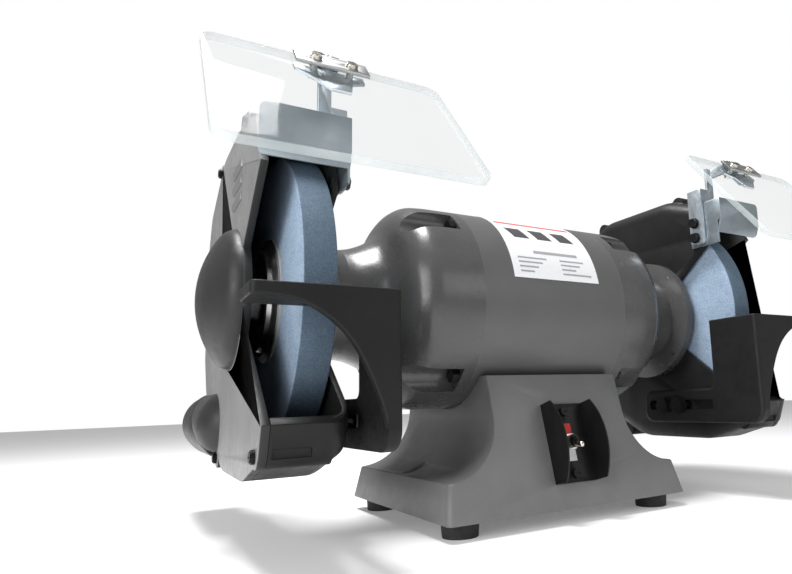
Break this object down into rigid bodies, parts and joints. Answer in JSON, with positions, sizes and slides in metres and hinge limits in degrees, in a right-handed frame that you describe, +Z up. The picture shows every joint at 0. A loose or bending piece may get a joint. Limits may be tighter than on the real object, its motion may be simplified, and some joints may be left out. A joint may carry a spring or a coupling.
{
  "type": "bench grinder",
  "caption": "Bench grinder with a wheel, guard, tool rest, spark deflector and clear eye shield at each end of a cast motor on a hollow cast base.",
  "frame": {"origin": "on the bench under the middle of the machine, midway between the shield's front edge and the dust outlets' ends", "axes": "+X along the spindle towards the right-hand wheel, +Y away from the operator, +Z up"},
  "size_m": [0.654, 0.462, 0.3805],
  "materials": {
    "base_paint": "satin grey paint over pebbled casting",
    "motor_paint": "satin grey paint",
    "bell_paint": "semi-gloss grey paint",
    "guard_paint": "dark grey satin paint",
    "cover_paint": "satin grey paint over casting",
    "rest_iron": "black-grey satin paint over casting",
    "abrasive": "blue-grey vitrified abrasive grain",
    "steel": "turned steel",
    "bearing_steel": "polished steel",
    "zinc_steel": "blue-white zinc plate",
    "zinc_sheet": "blue-grey zinc sheet",
    "plate_steel": "plain sheet steel",
    "black_steel": "black finish steel",
    "black_plastic": "moulded black plastic",
    "can_plastic": "moulded case",
    "rubber": "moulded rubber",
    "lamination": "stacked laminations",
    "copper": "enamelled wire",
    "nameplate": "silver-white label film with a red band",
    "legend": "printed aluminium",
    "nickel": "bright nickel plate",
    "aluminium": "bright drawn aluminium",
    "acrylic": "clear polished sheet",
    "paper": "blotter paper"
  },
  "bodies": {
    "frame": {"base_casting": "base_paint", "bottom_plate": "plate_steel", "rubber_feet": "rubber", "foot_screws": "zinc_steel", "motor_mount_screws": "zinc_steel", "motor_barrel": "motor_paint", "end_bell_bolts": "black_steel", "stator_core": "lamination", "stator_windings": "copper", "nameplate": "nameplate", "start_capacitor": "can_plastic", "capacitor_strap": "zinc_steel", "start_switch_plate": "can_plastic", "power_inlet_gland": "black_plastic", "switch_guard_plate": "black_steel", "switch_body": "can_plastic", "switch_legend_plate": "legend", "switch_nut": "nickel", "switch_plate_screws": "black_steel", "bearing_outer_rings": "bearing_steel", "bearing_balls": "bearing_steel", "bearing_wave_washer": "steel", "guard_cover_screws": "black_steel", "guard_mount_screws": "zinc_steel", "tool_rest_bolts": "black_steel", "guard_bracket_screws": "black_steel", "shield_pivot_knobs": "black_plastic", "left_end_bell": "bell_paint", "left_guard_housing": "guard_paint", "left_guard_cover": "cover_paint", "left_shield_arm": "zinc_steel", "right_end_bell": "bell_paint", "right_guard_housing": "guard_paint", "right_guard_cover": "cover_paint", "right_shield_arm": "zinc_steel"},
    "spindle": {"spindle_shaft": "steel", "rotor_core": "lamination", "start_switch_governor": "can_plastic", "bearing_inner_rings": "bearing_steel", "wheel_blotters": "paper", "spindle_nuts": "steel", "left_grinding_wheel": "abrasive", "left_inner_flange": "steel", "left_outer_flange": "steel", "right_grinding_wheel": "abrasive", "right_inner_flange": "steel", "right_outer_flange": "steel"},
    "toggle": {"switch_toggle": "nickel"},
    "left_rest": {"left_tool_rest": "rest_iron"},
    "left_deflector": {"left_spark_deflector": "zinc_sheet"},
    "left_shield": {"left_eye_shield": "acrylic", "left_shield_clamp_strip": "aluminium", "left_shield_bracket": "zinc_steel", "left_shield_screws": "nickel"},
    "right_rest": {"right_tool_rest": "rest_iron"},
    "right_deflector": {"right_spark_deflector": "zinc_sheet"},
    "right_shield": {"right_eye_shield": "acrylic", "right_shield_clamp_strip": "aluminium", "right_shield_bracket": "zinc_steel", "right_shield_screws": "nickel"}
  },
  "joints": [
    {"name": "spindle_spin", "type": "hinge", "parent": "frame", "child": "spindle", "pos_m": [0, 0, 0.2068], "axis": [1, 0, 0], "continuous": true},
    {"name": "switch_throw", "type": "hinge", "parent": "frame", "child": "toggle", "pos_m": [0, -0.09949, 0.06984], "axis": [-1, 0, 0], "range_deg": [0, 30]},
    {"name": "left_rest_slide", "type": "slide", "parent": "frame", "child": "left_rest", "axis": [0, -1, 0], "range_m": [-0.002, 0.0215]},
    {"name": "left_deflector_slide", "type": "slide", "parent": "frame", "child": "left_deflector", "axis": [0, 0, -1], "range_m": [0, 0.0145]},
    {"name": "left_shield_tilt", "type": "hinge", "parent": "frame", "child": "left_shield", "pos_m": [0, -0.13, 0.374], "axis": [-1, 0, 0], "range_deg": [-20, 60]},
    {"name": "right_rest_slide", "type": "slide", "parent": "frame", "child": "right_rest", "axis": [0, -1, 0], "range_m": [-0.002, 0.0215]},
    {"name": "right_deflector_slide", "type": "slide", "parent": "frame", "child": "right_deflector", "axis": [0, 0, -1], "range_m": [0, 0.0145]},
    {"name": "right_shield_tilt", "type": "hinge", "parent": "frame", "child": "right_shield", "pos_m": [0, -0.13, 0.374], "axis": [-1, 0, 0], "range_deg": [-20, 60]}
  ]
}
